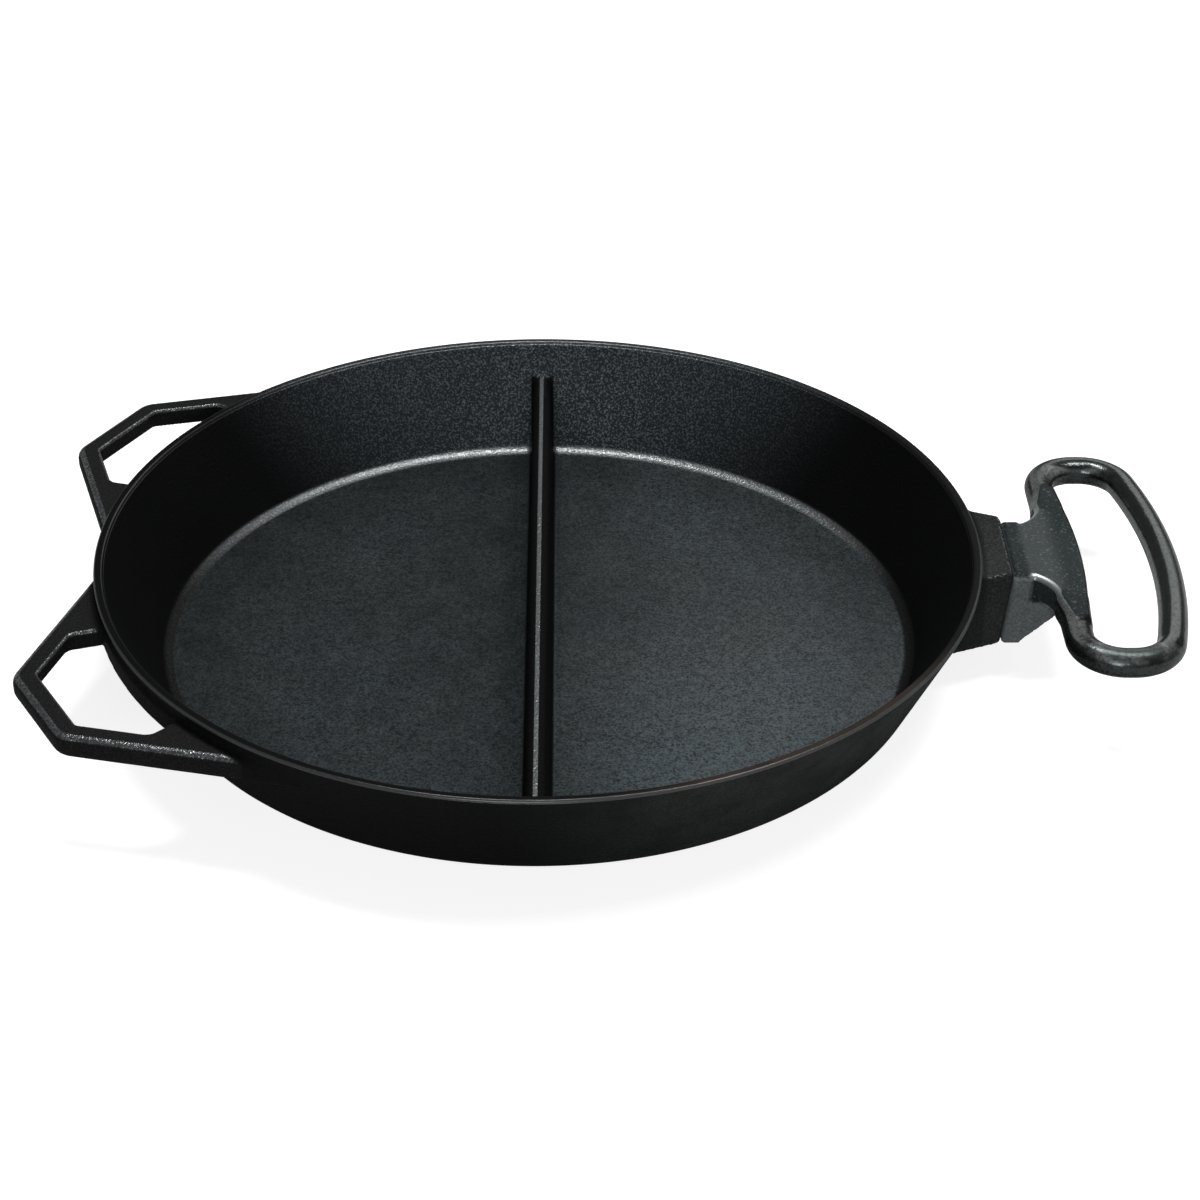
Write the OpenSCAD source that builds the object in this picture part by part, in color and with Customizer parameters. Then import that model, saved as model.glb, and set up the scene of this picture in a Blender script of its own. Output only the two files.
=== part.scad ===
// Divided frying pan: a wide cast pan with a divider across it, two side lugs
// and a boss that carries a separate cast loop handle.
// Origin on the pan's axis at the base, +X towards the loop handle,
// the divider along Y, +Z up. Millimetres.

/* [Bowl] */
// Outer radius of the pan at the rim
rim_r = 230; // [190:1:250]
// Radius of the base where the wall's line meets the table
base_r = 200; // [165:1:212]
// Height of the rim above the base
pan_h = 62; // [54:1:80]
// Thickness of the wall at the rim
rim_w = 5; // [4:0.5:8]
// Thickness of the floor
floor_t = 5; // [4:0.5:8]
// Extra thickness that the wall gains from the rim down to the floor
wall_gain = 1; // [0:0.5:3]
// Radius of the curve between the floor and the wall inside
floor_curve = 8; // [6:1:24]
// Radius of the base's outer edge
base_edge = 12; // [6:1:16]
// Radius of the rim's two edges
rim_edge = 1.4; // [0.8:0.1:1.8]

/* [Divider] */
// Drop of the divider's top below the rim
divider_drop = 18.4; // [10:0.2:28]
// Thickness of the divider at its shoulders
divider_top_w = 10; // [8:0.5:13]
// Thickness of the divider where it meets the floor
divider_foot_w = 12.4; // [11:0.2:18]
// Width of the narrow flat along the divider's top
divider_flat_w = 2; // [1:0.2:4]
// Radius of the curve between the divider and the floor
divider_foot_r = 3; // [1:0.5:6]

/* [Side lugs] */
// Angle of each lug from the side away from the loop handle
lug_angle = 30; // [28:0.5:50]
// Drop of the lugs' top below the rim
lug_drop = 8; // [6:0.5:16]
// Thickness of the lugs
lug_t = 12.5; // [9:0.5:16]
// Reach of the lugs' outer side beyond the wall
lug_out = 56; // [48:1:66]
// Length of the lugs' straight outer side
lug_side = 61; // [44:1:72]
// Angle from the lug's middle to where its sides reach the wall
lug_spread = 29.5; // [24:0.5:32]
// Width of the bars around the finger gap
lug_bar = 12.5; // [10:0.5:16]
// Width of the web between the wall and the finger gap, at the lugs' top
lug_web = 3; // [2:0.5:8]
// Half length of the finger gap along the wall
gap_half = 46; // [38:1:52]
// Radius of the lugs' outer corners
lug_corner_r = 13; // [6:1:18]
// Radius of the finger gap's corners
gap_corner_r = 6; // [3:0.5:7]
// Gain in the finger gap's width, on each side, for each millimetre down
gap_draft = 0.28; // [0:0.02:0.3]

/* [Boss] */
// Reach of the boss beyond the rim, at its top
boss_out = 14.5; // [12:0.5:20]
// Drop of the boss's top below the rim
boss_drop = 3; // [2:0.5:6]
// Height of the boss
boss_h = 39; // [33:1:45]
// Width of the boss's top at the joint
boss_top_w = 56; // [50:1:66]
// Angle at which the boss's sides spread towards the wall
boss_spread = 22; // [0:1:30]
// Gain in the half width of boss and flange for each millimetre down
boss_slope = 0.18; // [0.1:0.01:0.3]
// Lean of the joint face towards the pan, lower down
joint_lean = 8.4; // [0:0.2:12]
// Chamfer along the joint's top, on the boss and on the flange
joint_chamfer = 2.4; // [1:0.2:4]
// Chamfer down the joint's sides, on the boss and on the flange
joint_side_chamfer = 1.4; // [0.8:0.2:3]

/* [Loop handle] */
// Drop of the flange's and neck's top below the boss's top
neck_drop = 2.5; // [1:0.5:5]
// Thickness of the flange against the boss
flange_t = 10; // [7:0.5:12]
// Diameter of the handle's round bar
bar_d = 15; // [13:0.5:17]
// Drop of the bar's top below the neck plate's
bar_drop = 1; // [0.6:0.1:1.5]
// Distance from the joint to the middle of the grip
grip_out = 82; // [74:1:100]
// Distance from the joint to the middle of the loop's back bars
back_out = 27; // [24:0.5:32]
// Half length of the loop, to the middle of its end bars
loop_half = 96; // [82:1:110]
// Radius of the grip's bow
grip_bow_r = 335; // [260:5:500]
// Radius of the loop's corners at the grip
grip_corner_r = 22; // [16:1:26]
// Largest radius of the loop's corners at the back
back_corner_r = 21; // [12:1:24]
// Thickness of the neck plate
neck_t = 15.5; // [12:0.5:16]
// Width of the neck at the flange
neck_w = 47; // [42:1:55]
// Radius of the curve from the neck into the loop
neck_flare_r = 22; // [12:1:24]
// Distance from the joint to the neck plate's edge in the loop, at the middle
neck_out = 38; // [36:0.5:44]
// Radius of the bow of that edge
neck_bow_r = 375; // [300:5:500]
// Reach of the gusset along the neck
gusset_out = 26.5; // [20:0.5:28]
// How far the gusset's sides stand in from the flange's sides
gusset_inset = 1; // [0.5:0.5:6]

/* [Fixing] */
// Width of the tenon in the boss
tenon_w = 38; // [34:1:42]
// Height of the tenon
tenon_h = 17; // [14:0.5:18]
// Length of the tenon
tenon_l = 14; // [12:0.5:15]
// Thickness of the boss under the tenon
tenon_floor = 13; // [12:0.5:14]
// Clearance around the tenon in its socket
tenon_gap = 0.25; // [0.1:0.05:0.4]
// Diameter of the bolts
bolt_d = 6; // [5:0.5:6]
// Diameter of the bolts' heads
bolt_head_d = 10; // [9:0.5:10.5]
// Height of the bolts' heads
bolt_head_h = 6; // [4:0.5:6]
// Depth of the bolts in the tenon
bolt_grip = 11; // [8:0.5:12]
// Distance between the two bolts
bolt_pitch = 20; // [16:0.5:22]
// Distance from the joint to the bolts
bolt_back = 8; // [7:0.5:8.5]
// Clearance around the bolts and their heads
bolt_gap = 0.3; // [0.2:0.1:0.5]
// Clearance at the thread
thread_gap = 0.05; // [0.03:0.01:0.1]
// Width across the flats of the key holes in the bolts' heads
key_w = 5; // [4:0.5:5]
// Depth of the key holes
key_depth = 3; // [2:0.5:3.5]

/* [Hidden] */
arc_steps = 8;
iron = [0.13, 0.14, 0.14];
handle_iron = [0.22, 0.24, 0.24];
bolt_steel = [0.35, 0.36, 0.37];
// Half turn around the pan from the loop handle to the lugs' side
far_side = 180;
// How far the lugs, the boss and the divider run into the wall that carries them
root = rim_w / 2;
// How far the lugs' and the boss's blocks start behind the wall's outer face
block_run = 9;
// How far a cut runs past the face that it opens
cut_over = 1;
// Depth by which the divider's foot starts under the floor's surface
foot_bury = 0.2;
// Extra diameter of the handle's bar in its bends
bend_swell = 0.2;
// Length by which one run of the bar enters the next
bar_lap = 1;
// How much further than its side on the web the finger gap reaches on its slanted side
gap_flare = 4;
// Depth by which the gusset's top enters the neck plate
gusset_bury = 0.8;
// How far the neck plate's edge stands in from the back bars' side
neck_inset = 0.6;
// Spare depth of the tapped holes beyond the bolts' ends
bolt_spare = 2;

wall_run = (rim_r - base_r) / pan_h;
floor_r = rim_r - rim_w - wall_gain - (pan_h - floor_t) * wall_run;
divider_z = pan_h - divider_drop;
lug_z = pan_h - lug_drop;
boss_z = pan_h - boss_drop;
boss_foot_z = boss_z - boss_h;
neck_z = boss_z - neck_drop;
joint_x = rim_r + boss_out;
bar_z = neck_z - bar_drop - bar_d / 2;
back_x = joint_x + back_out;
grip_x = joint_x + grip_out;
grip_centre_x = grip_x - grip_bow_r;
// Middle of the end arc, which touches the end bar and the grip's bow
grip_arc_y = loop_half - grip_corner_r;
grip_arc_x = grip_centre_x + sqrt(pow(grip_bow_r - grip_corner_r, 2) - pow(grip_arc_y, 2));
grip_half_angle = atan2(grip_arc_y, grip_arc_x - grip_centre_x);
back_bend_r = min(back_corner_r, grip_arc_x - back_x - bar_lap);
back_arc_x = back_x + back_bend_r;
back_arc_y = loop_half - back_bend_r;
tenon_z = boss_foot_z + tenon_floor;
bolt_x = joint_face_x(tenon_z) - bolt_back;

// Outer radius of the wall at a height
function wall_r(z) = base_r + z * wall_run;

// Place of the joint face at a height
function joint_face_x(z) = joint_x - (boss_z - z) * tan(joint_lean);

// Half width of the boss and the flange at the joint, at a height
function joint_half_w(z) = boss_top_w / 2 + (boss_z - z) * boss_slope;

function unit(v) = v / norm(v);

function arc(centre, radius, start, end) =
    [for (i = [0 : arc_steps]) let (a = start + (end - start) * i / arc_steps)
        centre + radius * [cos(a), sin(a)]];

// Turn from one direction to another, the short way round
function short_turn(a, b) = let (d = b - a) d > 180 ? d - 360 : d < -180 ? d + 360 : d;

function round_corner(before, corner, after, radius) =
    let (u = unit(before - corner),
         v = unit(after - corner),
         half = acos(u * v) / 2,
         centre = corner + unit(u + v) * radius / sin(half),
         first = corner + u * radius / tan(half) - centre,
         last = corner + v * radius / tan(half) - centre,
         a = atan2(first.y, first.x),
         b = atan2(last.y, last.x))
    arc(centre, radius, a, a + short_turn(a, b));

// Outline with each corner rounded by its own radius
function rounded(points, radii) = let (n = len(points))
    [for (i = [0 : n - 1]) each
        radii[i] > 0
            ? round_corner(points[(i + n - 1) % n], points[i], points[(i + 1) % n], radii[i])
            : [points[i]]];

function mirrored(points) = [for (i = [len(points) - 1 : -1 : 0]) [points[i].x, -points[i].y]];

// Ring at one height, from the points of its side at positive Y
function level_ring(side, z) = [for (p = concat(side, mirrored(side))) [p.x, p.y, z]];

// Solid between rings of points, each with the same number of points
module stacked(rings) {
    n = len(rings[0]);
    levels = len(rings);
    polyhedron(
        points = [for (ring = rings) each ring],
        faces = concat(
            [[for (i = [0 : n - 1]) i]],
            [for (k = [0 : levels - 2], i = [0 : n - 1])
                [k * n + i, k * n + n + i, k * n + n + (i + 1) % n, k * n + (i + 1) % n]],
            [[for (i = [n - 1 : -1 : 0]) (levels - 1) * n + i]]));
}

// Everything inside the middle of the wall, down to the middle of the floor
module wall_core() {
    rotate_extrude($fn = 180)
        polygon([
            [0, floor_t / 2],
            [wall_r(floor_t / 2) - root, floor_t / 2],
            [rim_r - root, pan_h],
            [0, pan_h]]);
}

module bowl() {
    rotate_extrude($fn = 180)
        polygon(rounded(
            [[0, 0], [base_r, 0], [rim_r, pan_h], [rim_r - rim_w, pan_h],
             [floor_r, floor_t], [0, floor_t]],
            [0, base_edge, rim_edge, rim_edge, floor_curve, 0]));
}

module divider() {
    shoulder = divider_top_w / 2;
    foot = divider_foot_w / 2;
    foot_z = floor_t - foot_bury;
    wing = foot + divider_foot_r * 2;
    crown_r = (divider_top_w - divider_flat_w) / 2;
    intersection() {
        rotate([90, 0, 0])
            linear_extrude(height = rim_r * 2, center = true)
                polygon(rounded(
                    [[-wing, 0], [wing, 0], [wing, foot_z], [foot, foot_z],
                     [shoulder, divider_z], [-shoulder, divider_z], [-foot, foot_z],
                     [-wing, foot_z]],
                    [0, 0, 0, divider_foot_r, crown_r, crown_r, divider_foot_r, 0]));
        wall_core();
    }
}

// Outline of a lug seen from above, its middle along X
function lug_outline() =
    let (wall = wall_r(lug_z - lug_t / 2),
         inside = wall - block_run,
         side = [[wall + lug_out, lug_side / 2],
                 wall * [cos(lug_spread), sin(lug_spread)],
                 inside * [cos(lug_spread), sin(lug_spread)]])
    rounded(concat(mirrored(side), side), [0, 0, lug_corner_r, lug_corner_r, 0, 0]);

// Outline of the finger gap at a depth below the lug's top: bars on three
// sides, the web along the wall
function gap_outline(depth) =
    let (wall = wall_r(lug_z - lug_t / 2),
         inner_r = wall_r(lug_z) + lug_web,
         bar = lug_bar - gap_draft * depth,
         half = gap_half + gap_draft * depth,
         corner = [wall + lug_out, lug_side / 2],
         slant = unit(wall * [cos(lug_spread), sin(lug_spread)] - corner),
         outer_x = corner.x - bar,
         on_slant = corner + bar * [-slant.y, slant.x],
         top = on_slant + slant * (outer_x - on_slant.x) / slant.x,
         end = on_slant + slant * (half + gap_flare - on_slant.y) / slant.y,
         end_angle = asin(half / inner_r),
         near = inner_r * [cos(end_angle), sin(end_angle)],
         side = [top, end, near],
         near_r = gap_corner_r / 2)
    concat(
        rounded(
            concat(mirrored(side), side),
            [0, gap_corner_r, near_r, near_r, gap_corner_r, 0]),
        arc([0, 0], inner_r, end_angle, -end_angle));

// The finger gap's outline as a ring, in the order that stacked() needs
function gap_ring(depth) =
    let (outline = gap_outline(depth))
    [for (i = [len(outline) - 1 : -1 : 0]) [outline[i].x, outline[i].y, lug_z - depth]];

module lug() {
    difference() {
        translate([0, 0, lug_z - lug_t])
            linear_extrude(height = lug_t)
                polygon(lug_outline());
        stacked([gap_ring(-cut_over), gap_ring(lug_t + cut_over)]);
    }
}

// Ring around the boss at a height, drawn in by a chamfer at the joint
function boss_ring(z, inset) =
    let (face = joint_face_x(z) - inset,
         half = joint_half_w(z),
         back = wall_r(z) - block_run,
         spread = tan(boss_spread),
         cut = joint_side_chamfer,
         side = [[back, half + (joint_face_x(z) - back) * spread],
                 [face - cut, half + (joint_face_x(z) - face + cut) * spread],
                 [face, half - cut]])
    level_ring(side, z);

module boss() {
    stacked([
        boss_ring(boss_z, joint_chamfer),
        boss_ring(boss_z - joint_chamfer, 0),
        boss_ring(boss_foot_z, 0)]);
}

module boss_cuts() {
    translate([joint_face_x(tenon_z) - tenon_l - tenon_gap, -tenon_w / 2 - tenon_gap, tenon_z])
        cube([tenon_l + boss_out, tenon_w + tenon_gap * 2, tenon_h + tenon_gap * 2]);
    for (side = [-1, 1])
        translate([bolt_x, side * bolt_pitch / 2, boss_foot_z - cut_over]) {
            cylinder(d = bolt_d + bolt_gap * 2, h = tenon_floor + cut_over * 2, $fn = 48);
            cylinder(d = bolt_head_d + bolt_gap * 2, h = bolt_head_h + cut_over, $fn = 48);
        }
}

module pan_casting() {
    color(iron)
        difference() {
            union() {
                bowl();
                divider();
                difference() {
                    union() {
                        for (side = [-1, 1])
                            rotate([0, 0, far_side + side * lug_angle])
                                lug();
                        boss();
                    }
                    wall_core();
                }
            }
            boss_cuts();
        }
}

// Ring around the flange at a height, drawn in by a chamfer at the joint
function flange_ring(z, inset) =
    let (face = joint_face_x(z) + inset,
         half = joint_half_w(z),
         side = [[face, half - joint_side_chamfer],
                 [face + joint_side_chamfer, half],
                 [joint_face_x(z) + flange_t, half]])
    level_ring(side, z);

module flange() {
    stacked([
        flange_ring(neck_z, joint_chamfer / 2),
        flange_ring(neck_z - joint_chamfer / 2, 0),
        flange_ring(boss_foot_z, 0)]);
}

// Round bar bent around a centre
module bar_arc(centre, radius, start, sweep, d) {
    translate([centre.x, centre.y, bar_z])
        rotate([0, 0, start])
            rotate_extrude(angle = sweep, $fn = 120)
                translate([radius, 0])
                    circle(d = d, $fn = 48);
}

// Straight round bar from one point to another
module bar_line(from, to) {
    run = to - from;
    translate([from.x, from.y, bar_z])
        rotate([0, 90, atan2(run.y, run.x)])
            cylinder(d = bar_d, h = norm(run), $fn = 48);
}

module loop() {
    bend_d = bar_d + bend_swell;
    grip_end = grip_half_angle + asin(bar_lap / grip_bow_r);
    bar_arc([grip_centre_x, 0], grip_bow_r, -grip_end, grip_end * 2, bar_d);
    bar_line([back_x, -back_arc_y - bar_lap], [back_x, back_arc_y + bar_lap]);
    for (side = [0, 1])
        mirror([0, side, 0]) {
            bar_arc([grip_arc_x, grip_arc_y], grip_corner_r, grip_half_angle, 90 - grip_half_angle, bend_d);
            bar_line([back_arc_x - bar_lap, loop_half], [grip_arc_x + bar_lap, loop_half]);
            bar_arc([back_arc_x, back_arc_y], back_bend_r, 90, 90, bend_d);
        }
}

// Neck plate seen from above, from the flange to its bowed edge in the loop
module neck() {
    flange_x = joint_face_x(neck_z) + flange_t / 2;
    edge_x = joint_x + neck_out;
    back_edge_x = back_x - bar_d / 2 + neck_inset;
    lobe_y = back_arc_y - back_bend_r / 2;
    bow_centre = [edge_x - neck_bow_r, 0];
    bow_half = asin(lobe_y / neck_bow_r);
    flare_centre = [back_edge_x - neck_flare_r, neck_w / 2 + neck_flare_r];
    flare_start = -acos(max(0, flange_x - flare_centre.x) / neck_flare_r);
    flare = arc(flare_centre, neck_flare_r, flare_start, 0);
    side = concat([[flange_x, flare[0].y]], flare, [[back_x, lobe_y]]);
    translate([0, 0, neck_z - neck_t])
        linear_extrude(height = neck_t)
            polygon(concat(
                side,
                arc(bow_centre, neck_bow_r, bow_half, -bow_half),
                mirrored(side)));
}

// Ring around the gusset at a height, from inside the flange to its slope
function gusset_ring(z, end_x) =
    let (half = joint_half_w(z) - gusset_inset,
         start_x = joint_face_x(z) + flange_t / 2)
    level_ring([[start_x, half], [end_x, half]], z);

module gusset() {
    neck_foot_z = neck_z - neck_t;
    foot_x = joint_face_x(boss_foot_z) + flange_t;
    end_x = foot_x + gusset_out;
    stacked([
        gusset_ring(neck_foot_z + gusset_bury, end_x),
        gusset_ring(neck_foot_z, end_x),
        gusset_ring(boss_foot_z, foot_x)]);
}

module tenon() {
    difference() {
        translate([joint_face_x(tenon_z) - tenon_l, -tenon_w / 2, tenon_z + tenon_gap])
            cube([tenon_l + flange_t, tenon_w, tenon_h]);
        for (side = [-1, 1])
            translate([bolt_x, side * bolt_pitch / 2, tenon_z - cut_over])
                cylinder(d = bolt_d + thread_gap * 2, h = cut_over + bolt_grip + bolt_spare, $fn = 48);
    }
}

module handle_casting() {
    color(handle_iron) {
        loop();
        neck();
        flange();
        gusset();
        tenon();
    }
}

module handle_bolts() {
    head_z = boss_foot_z + bolt_head_h;
    color(bolt_steel)
        for (side = [-1, 1])
            translate([bolt_x, side * bolt_pitch / 2, 0])
                difference() {
                    union() {
                        translate([0, 0, boss_foot_z])
                            cylinder(d = bolt_head_d, h = bolt_head_h, $fn = 48);
                        translate([0, 0, head_z])
                            cylinder(d = bolt_d, h = tenon_z + bolt_grip - head_z, $fn = 48);
                    }
                    translate([0, 0, boss_foot_z - cut_over])
                        cylinder(d = key_w / cos(30), h = key_depth + cut_over, $fn = 6);
                }
}

pan_casting();
handle_casting();
handle_bolts();
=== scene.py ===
"""Looks of the divided frying pan: the pan casting, the loop handle and its bolts."""

import math

import bmesh
import bpy
import numpy as np
from mathutils import Matrix, Vector


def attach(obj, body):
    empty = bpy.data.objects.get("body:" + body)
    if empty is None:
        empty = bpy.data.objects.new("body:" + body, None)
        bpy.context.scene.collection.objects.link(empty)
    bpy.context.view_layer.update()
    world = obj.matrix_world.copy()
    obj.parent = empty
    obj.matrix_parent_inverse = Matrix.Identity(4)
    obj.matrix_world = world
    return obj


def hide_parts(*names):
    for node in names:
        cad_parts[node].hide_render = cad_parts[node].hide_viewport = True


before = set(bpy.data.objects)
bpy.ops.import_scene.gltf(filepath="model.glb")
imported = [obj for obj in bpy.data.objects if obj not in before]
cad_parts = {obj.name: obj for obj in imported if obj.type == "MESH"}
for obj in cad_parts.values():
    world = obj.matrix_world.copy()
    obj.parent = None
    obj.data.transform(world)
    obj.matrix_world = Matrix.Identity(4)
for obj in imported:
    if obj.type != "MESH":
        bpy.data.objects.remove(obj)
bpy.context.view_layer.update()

MM = 0.001

# Bowl, in millimetres
RIM_R = 230.0
BASE_R = 200.0
PAN_H = 62.0
RIM_W = 5.0
FLOOR_T = 5.0
WALL_GAIN = 1.0
FLOOR_CURVE = 8.0
BASE_EDGE = 12.0
RIM_EDGE = 1.4

# Divider
DIVIDER_Z = 43.6
DIVIDER_TOP_W = 10.0
DIVIDER_FOOT_W = 12.4
DIVIDER_FLAT_W = 2.0
DIVIDER_FOOT_R = 3.0

# Side lugs
LUG_ANGLE = 30.0
LUG_Z = 54.0
LUG_T = 12.5
LUG_OUT = 56.0
LUG_SIDE = 61.0
LUG_SPREAD = 29.5
LUG_BAR = 12.5
LUG_WEB = 3.0
GAP_HALF = 46.0
GAP_FLARE = 4.0
LUG_CORNER_R = 13.0
GAP_CORNER_R = 6.0
GAP_DRAFT = 0.28
LUG_EDGE_R = 4.5
GAP_EDGE_R = 2.0
LUG_FILLET = 3.5

# Boss and joint
JOINT_X = 244.5
BOSS_Z = 59.0
BOSS_H = 39.0
BOSS_TOP_W = 56.0
BOSS_SPREAD = 22.0
BOSS_SLOPE = 0.18
JOINT_LEAN = 8.4
JOINT_CHAMFER = 2.4
JOINT_SIDE_CHAMFER = 1.4
BOSS_EDGE_R = 1.0
BOSS_FILLET = 2.8

# Loop handle
NECK_Z = 56.5
FLANGE_T = 10.0
BAR_D = 15.0
BAR_DROP = 1.0
GRIP_X = 326.5
BACK_X = 271.5
LOOP_HALF = 96.0
GRIP_BOW_R = 335.0
GRIP_CORNER_R = 22.0
BACK_CORNER_R = 21.0
NECK_T = 15.5
NECK_W = 47.0
NECK_FLARE_R = 22.0
NECK_EDGE_X = 282.5
NECK_BOW_R = 375.0
NECK_EDGE_R = 3.0
NECK_INSET = 0.6
GUSSET_OUT = 26.5
GUSSET_INSET = 1.0
GUSSET_OVERLAP = 1.0
FLANGE_FILLET = 1.5
LOOP_FILLET = 5.0
# Where the loop's bar ends inside the neck plate
BAR_END_Y = 48.0
# Edge of the faces that were cast sharp
CRISP_R = 0.6

# Bolts
BOLT_D = 6.0
BOLT_HEAD_D = 10.0
BOLT_HEAD_H = 6.0
BOLT_PITCH = 20.0
BOLT_BACK = 8.0
BOLT_TOP_Z = 44.0
BOLT_EDGE = 0.4
TENON_FLOOR = 13.0
KEY_W = 5.0
KEY_DEPTH = 3.0

# Camera, in metres and radians; the photograph is 1200 pixels wide, and 2880 is its focal length
CAMERA_PLACE = Vector((0.01707, -1.28220, 0.83455))
CAMERA_DOWN = 0.5632
CAMERA_TURN = 0.0115
CAMERA_ROLL = 0.0038
SENSOR_MM = 36.0
LENS_MM = SENSOR_MM * 2880 / 1200

BOSS_FOOT_Z = BOSS_Z - BOSS_H
NECK_FOOT_Z = NECK_Z - NECK_T
BAR_Z = NECK_Z - BAR_DROP - BAR_D / 2
WALL_RUN = (RIM_R - BASE_R) / PAN_H
FLOOR_R = RIM_R - RIM_W - WALL_GAIN - (PAN_H - FLOOR_T) * WALL_RUN
NECK_LOBE_Y = LOOP_HALF - BACK_CORNER_R * 1.5

# How finely round shapes are drawn
CORNER_STEPS = 10
LONG_ARC_STEPS = 24
FLARE_STEPS = 16
BOWL_SEGMENTS = 360
BOWL_CORNER_POINTS = 9
BOLT_SEGMENTS = 48

# Points of the bowl and of a bolt that are closer than this are one
BOWL_MERGE = 0.02
BOLT_MERGE = 0.001
# How far past its fillet a casting's surface is kept
FILLET_MARGIN = 1.0
# How far the boss's root reaches past the roots of the other castings
BOSS_ROOT = 4.0
# A distance beyond any in the model
FAR = 1e12


# Outlines in the plane, as lists of points


def arc(centre, radius, start, end, steps=CORNER_STEPS):
    """Points along an arc between two angles in degrees."""
    angles = np.radians(np.linspace(start, end, steps + 1))
    x, y = centre
    return [(x + radius * math.cos(a), y + radius * math.sin(a)) for a in angles]


def round_corner(before, corner, after, radius):
    """Points of the arc that rounds a corner between two straight sides."""
    corner = np.array(corner, float)
    u = np.array(before, float) - corner
    v = np.array(after, float) - corner
    u /= np.linalg.norm(u)
    v /= np.linalg.norm(v)
    half = math.acos(float(np.clip(u @ v, -1, 1))) / 2
    bisector = (u + v) / np.linalg.norm(u + v)
    centre = corner + bisector * radius / math.sin(half)
    first = corner + u * radius / math.tan(half) - centre
    last = corner + v * radius / math.tan(half) - centre
    start = math.degrees(math.atan2(first[1], first[0]))
    end = math.degrees(math.atan2(last[1], last[0]))
    turn = (end - start + 180) % 360 - 180
    return arc(centre, radius, start, start + turn)


def rounded(points, radii):
    """A closed outline with each corner rounded by its own radius."""
    outline = []
    for i, (corner, radius) in enumerate(zip(points, radii)):
        if radius > 0:
            after = points[(i + 1) % len(points)]
            outline += round_corner(points[i - 1], corner, after, radius)
        else:
            outline.append(tuple(corner))
    return outline


def mirrored(points):
    """The points across the X axis, in the order that goes on round an outline."""
    return [(x, -y) for x, y in reversed(points)]


# Distances to solid shapes, negative inside, for arrays of points


def outline_distance(outline, x, y):
    """Distance in the plane to a closed outline."""
    nearest = np.full(x.shape, FAR)
    inside = np.zeros(x.shape, bool)
    for (ax, ay), (bx, by) in zip(outline, outline[1:] + outline[:1]):
        run, rise = bx - ax, by - ay
        if run == 0 and rise == 0:
            continue
        t = np.clip(((x - ax) * run + (y - ay) * rise) / (run * run + rise * rise), 0, 1)
        nearest = np.minimum(nearest, (x - ax - run * t) ** 2 + (y - ay - rise * t) ** 2)
        if rise != 0:
            crossed = ((ay > y) != (by > y)) & (x < ax + (y - ay) * run / rise)
            inside ^= crossed
    return np.where(inside, -1.0, 1.0) * np.sqrt(nearest)


def fused(a, b, fillet):
    """Union of two shapes with a fillet of a given radius between them."""
    reach = np.sqrt(np.maximum(fillet - a, 0) ** 2 + np.maximum(fillet - b, 0) ** 2)
    return np.maximum(fillet, np.minimum(a, b)) - reach


def trimmed(a, b, edge):
    """What two shapes share, with the edge between them rounded."""
    reach = np.sqrt(np.maximum(edge + a, 0) ** 2 + np.maximum(edge + b, 0) ** 2)
    return np.minimum(-edge, np.maximum(a, b)) + reach


def chamfered(a, b, chamfer, edge):
    """What two shapes share, with a chamfer between them and rounded edges."""
    slope = (a + b + chamfer) * math.sqrt(0.5)
    return trimmed(trimmed(a, slope, edge), b, edge)


def plate(flat, z, low, high, edge):
    """A flat shape made a plate between two heights, with rounded edges."""
    return trimmed(flat, np.maximum(z - high, low - z), edge)


def wall_r(z):
    """Radius of the wall's outer face at a height."""
    return BASE_R + z * WALL_RUN


def joint_face_x(z):
    """Place of the joint's leaning face at a height."""
    return JOINT_X - (BOSS_Z - z) * math.tan(math.radians(JOINT_LEAN))


BOWL_SECTION = [
    (0, 0),
    (BASE_R, 0),
    (RIM_R, PAN_H),
    (RIM_R - RIM_W, PAN_H),
    (FLOOR_R, FLOOR_T),
    (0, FLOOR_T),
]
BOWL_OUTLINE = rounded(BOWL_SECTION, [0, BASE_EDGE, RIM_EDGE, RIM_EDGE, FLOOR_CURVE, 0])
# Depth under the bowl's own surface at which the other castings meet it
SINK = 0.06
# Depth inside the wall at which a root ends
ROOT = RIM_W / 2


def bowl_shape(x, y, z):
    """The bowl, a little under its visible surface."""
    return outline_distance(BOWL_OUTLINE, np.hypot(x, y), z) + SINK


def core_shape(x, y, z):
    """Everything inside the middle of the wall, down to the middle of the floor."""
    lean = math.hypot(1, WALL_RUN)
    return np.maximum((np.hypot(x, y) - (wall_r(z) - ROOT)) / lean, FLOOR_T / 2 - z)


def divider_shape(x, y, z):
    """The divider with its rounded top and the fillets at its foot and ends."""
    shoulder = DIVIDER_TOP_W / 2
    foot = DIVIDER_FOOT_W / 2
    crown_r = (DIVIDER_TOP_W - DIVIDER_FLAT_W) / 2
    corners = [
        (-foot, 0),
        (foot, 0),
        (foot, FLOOR_T),
        (shoulder, DIVIDER_Z),
        (-shoulder, DIVIDER_Z),
        (-foot, FLOOR_T),
    ]
    section = rounded(corners, [0, 0, 0, crown_r, crown_r, 0])
    rib = outline_distance(section, x, z)
    body = fused(rib, bowl_shape(x, y, z), DIVIDER_FOOT_R)
    body = np.maximum(body, rib - DIVIDER_FOOT_R - FILLET_MARGIN)
    return np.maximum(body, core_shape(x, y, z))


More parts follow.
